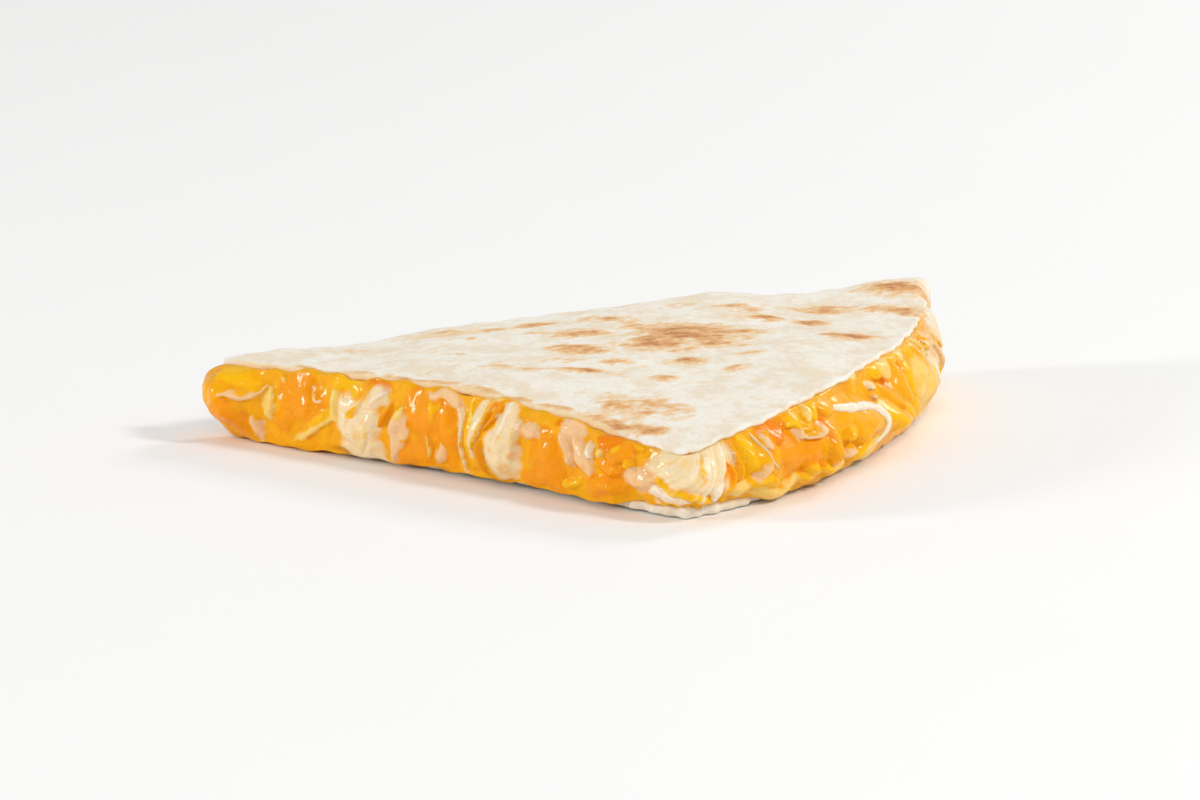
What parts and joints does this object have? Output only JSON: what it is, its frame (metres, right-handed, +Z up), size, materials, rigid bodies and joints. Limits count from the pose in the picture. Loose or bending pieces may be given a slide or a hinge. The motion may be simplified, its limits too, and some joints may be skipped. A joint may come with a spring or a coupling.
{
  "type": "quesadilla wedge",
  "caption": "Wedge of a folded flour-tortilla quesadilla, with melted cheese swelling out past its cut side and its round side.",
  "frame": {"origin": "bottom centre of the wedge's box, on the surface that it lies on", "axes": "+X along the folded back edge, from the knife-cut corner to the round corner, +Y from the front tip to the fold, +Z up"},
  "size_m": [0.1138, 0.0796, 0.0158],
  "materials": {
    "toasted_tortilla": "matte, floury, with brown toasted spots",
    "melted_cheese": "glossy, orange marbled with cream"
  },
  "bodies": {
    "root": {"tortilla": "toasted_tortilla", "cheese_filling": "melted_cheese"}
  },
  "joints": []
}
